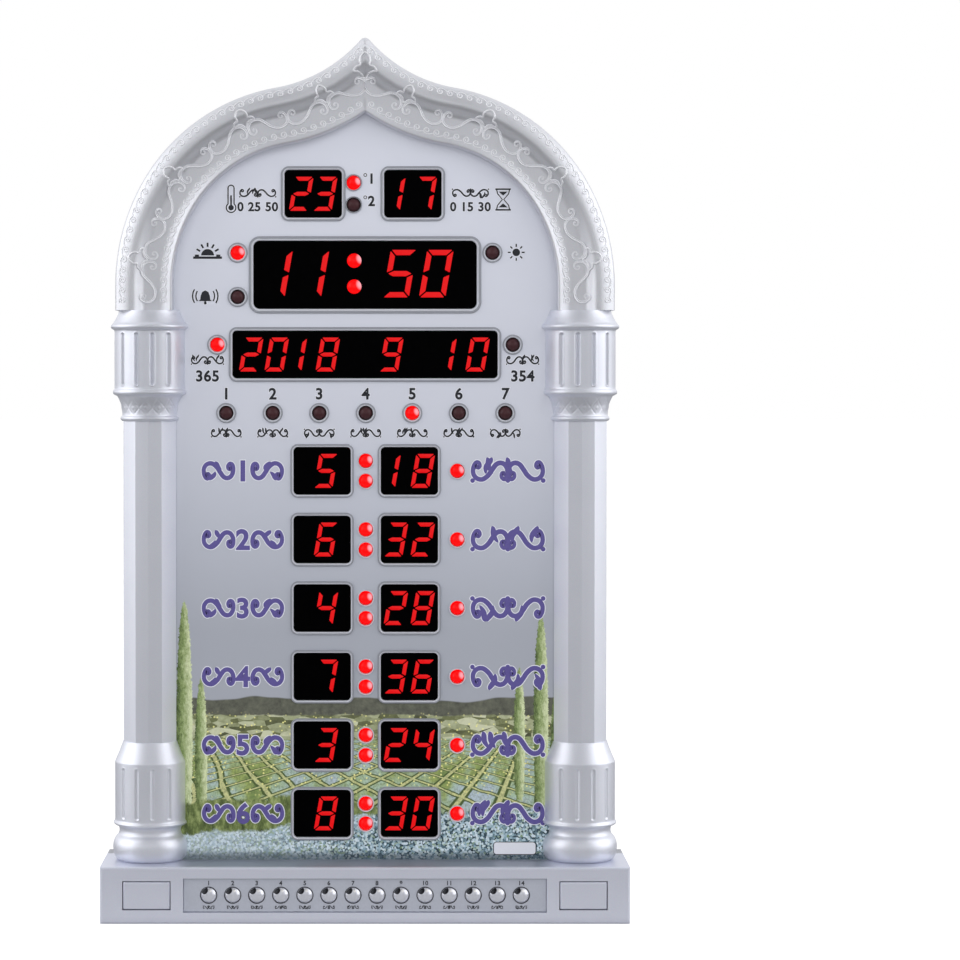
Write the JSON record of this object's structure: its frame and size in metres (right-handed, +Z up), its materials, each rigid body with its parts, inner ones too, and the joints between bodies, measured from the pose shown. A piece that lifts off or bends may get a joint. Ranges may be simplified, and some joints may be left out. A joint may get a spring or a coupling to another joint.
{
  "type": "azan clock",
  "caption": "Digital prayer-time clock: red LED displays in an ogee arch on two columns and a plinth with push buttons.",
  "frame": {"origin": "middle of the base, on the surface that the clock stands on", "axes": "+Z up, -Y out of the dial towards the viewer, +X to the viewer's right"},
  "size_m": [0.2184, 0.045, 0.366],
  "materials": {
    "silver_paint": "satin silver metallic paint on moulded plastic",
    "cover_plastic": "fine textured moulded plastic",
    "overlay_print": "printed film, satin",
    "panel_plastic": "plain moulded plastic",
    "bezel_grey": "satin grey",
    "display_black": "gloss filter face",
    "segment_lit": "lit red light guide",
    "lamp_lit": "lit red diffused lens",
    "lamp_unlit": "unlit diffused lens",
    "strip_grey": "printed strip, satin",
    "button_chrome": "chrome plated",
    "circuit_board": "solder mask",
    "black_plastic": "moulded",
    "ribbon_grey": "extruded insulation",
    "connector_white": "moulded",
    "steel": "zinc plated",
    "cone_paper": "pressed fibre",
    "magnet": "sintered ferrite"
  },
  "bodies": {
    "case": {"arch_frame": "silver_paint", "left_column": "silver_paint", "right_column": "silver_paint", "plinth_housing": "silver_paint", "back_cover": "cover_plastic", "dial_overlay": "overlay_print", "dial_panel": "panel_plastic", "window_bezels": "bezel_grey", "temperature_display": "display_black", "countdown_display": "display_black", "time_display": "display_black", "date_display": "display_black", "row_1_displays": "display_black", "row_2_displays": "display_black", "row_3_displays": "display_black", "row_4_displays": "display_black", "row_5_displays": "display_black", "row_6_displays": "display_black", "lit_segments": "segment_lit", "lit_lamps": "lamp_lit", "dark_lamps": "lamp_unlit", "lamp_bezels": "bezel_grey", "control_strip": "strip_grey", "left_blank_plate": "silver_paint", "right_blank_plate": "silver_paint", "button_board": "circuit_board", "tact_switches": "black_plastic", "display_board": "circuit_board", "board_components": "black_plastic", "ir_receiver": "black_plastic", "ribbon_cable": "ribbon_grey", "cable_headers": "connector_white", "speaker_basket": "steel", "speaker_cone": "cone_paper", "speaker_magnet": "magnet", "power_jack": "black_plastic", "power_jack_nut": "steel", "hookup_wires": "ribbon_grey", "coin_cell_holder": "connector_white", "coin_cell": "steel", "case_screws": "steel", "board_screws": "steel"},
    "button_01": {"button_01": "button_chrome"},
    "button_02": {"button_02": "button_chrome"},
    "button_03": {"button_03": "button_chrome"},
    "button_04": {"button_04": "button_chrome"},
    "button_05": {"button_05": "button_chrome"},
    "button_06": {"button_06": "button_chrome"},
    "button_07": {"button_07": "button_chrome"},
    "button_08": {"button_08": "button_chrome"},
    "button_09": {"button_09": "button_chrome"},
    "button_10": {"button_10": "button_chrome"},
    "button_11": {"button_11": "button_chrome"},
    "button_12": {"button_12": "button_chrome"},
    "button_13": {"button_13": "button_chrome"},
    "button_14": {"button_14": "button_chrome"},
    "battery_cap": {"battery_cap": "cover_plastic"}
  },
  "joints": [
    {"name": "button_01_press", "type": "slide", "parent": "case", "child": "button_01", "axis": [0, 1, 0], "range_m": [0, 0.0008], "stiffness_N_per_m": 700, "springref_m": -0.001},
    {"name": "button_02_press", "type": "slide", "parent": "case", "child": "button_02", "axis": [0, 1, 0], "range_m": [0, 0.0008], "stiffness_N_per_m": 700, "springref_m": -0.001},
    {"name": "button_03_press", "type": "slide", "parent": "case", "child": "button_03", "axis": [0, 1, 0], "range_m": [0, 0.0008], "stiffness_N_per_m": 700, "springref_m": -0.001},
    {"name": "button_04_press", "type": "slide", "parent": "case", "child": "button_04", "axis": [0, 1, 0], "range_m": [0, 0.0008], "stiffness_N_per_m": 700, "springref_m": -0.001},
    {"name": "button_05_press", "type": "slide", "parent": "case", "child": "button_05", "axis": [0, 1, 0], "range_m": [0, 0.0008], "stiffness_N_per_m": 700, "springref_m": -0.001},
    {"name": "button_06_press", "type": "slide", "parent": "case", "child": "button_06", "axis": [0, 1, 0], "range_m": [0, 0.0008], "stiffness_N_per_m": 700, "springref_m": -0.001},
    {"name": "button_07_press", "type": "slide", "parent": "case", "child": "button_07", "axis": [0, 1, 0], "range_m": [0, 0.0008], "stiffness_N_per_m": 700, "springref_m": -0.001},
    {"name": "button_08_press", "type": "slide", "parent": "case", "child": "button_08", "axis": [0, 1, 0], "range_m": [0, 0.0008], "stiffness_N_per_m": 700, "springref_m": -0.001},
    {"name": "button_09_press", "type": "slide", "parent": "case", "child": "button_09", "axis": [0, 1, 0], "range_m": [0, 0.0008], "stiffness_N_per_m": 700, "springref_m": -0.001},
    {"name": "button_10_press", "type": "slide", "parent": "case", "child": "button_10", "axis": [0, 1, 0], "range_m": [0, 0.0008], "stiffness_N_per_m": 700, "springref_m": -0.001},
    {"name": "button_11_press", "type": "slide", "parent": "case", "child": "button_11", "axis": [0, 1, 0], "range_m": [0, 0.0008], "stiffness_N_per_m": 700, "springref_m": -0.001},
    {"name": "button_12_press", "type": "slide", "parent": "case", "child": "button_12", "axis": [0, 1, 0], "range_m": [0, 0.0008], "stiffness_N_per_m": 700, "springref_m": -0.001},
    {"name": "button_13_press", "type": "slide", "parent": "case", "child": "button_13", "axis": [0, 1, 0], "range_m": [0, 0.0008], "stiffness_N_per_m": 700, "springref_m": -0.001},
    {"name": "button_14_press", "type": "slide", "parent": "case", "child": "button_14", "axis": [0, 1, 0], "range_m": [0, 0.0008], "stiffness_N_per_m": 700, "springref_m": -0.001},
    {"name": "battery_cap_twist", "type": "hinge", "parent": "case", "child": "battery_cap", "pos_m": [0.045, 0.0225, 0.175], "axis": [0, 1, 0], "range_deg": [0, 60]}
  ]
}
